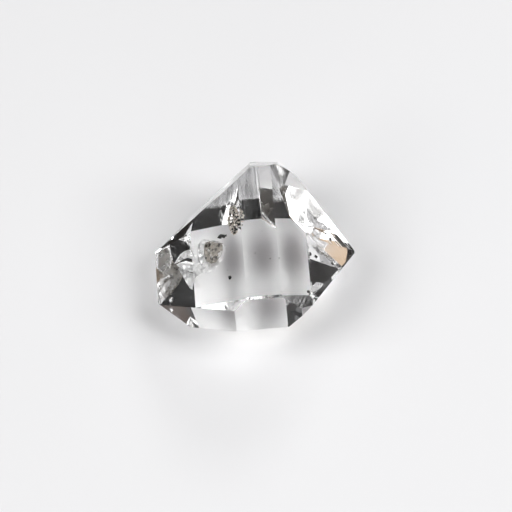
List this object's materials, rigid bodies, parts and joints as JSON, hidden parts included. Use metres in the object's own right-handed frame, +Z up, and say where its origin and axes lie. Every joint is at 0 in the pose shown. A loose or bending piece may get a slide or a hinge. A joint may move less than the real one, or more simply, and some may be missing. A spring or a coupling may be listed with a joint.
{
  "type": "herkimer diamond quartz crystal",
  "caption": "Clear doubly terminated quartz crystal, short and stout, with flat natural faces, lying on one long side face.",
  "frame": {"origin": "on the ground under the middle of the crystal's bounding box", "axes": "+Z up as the crystal lies, X along the crystal's long axis (its c axis), -Y towards the viewer"},
  "size_m": [0.0284, 0.0254, 0.0166],
  "materials": {
    "clear_quartz": "bright natural crystal faces, water clear"
  },
  "bodies": {
    "root": {"crystal": "clear_quartz"}
  },
  "joints": []
}
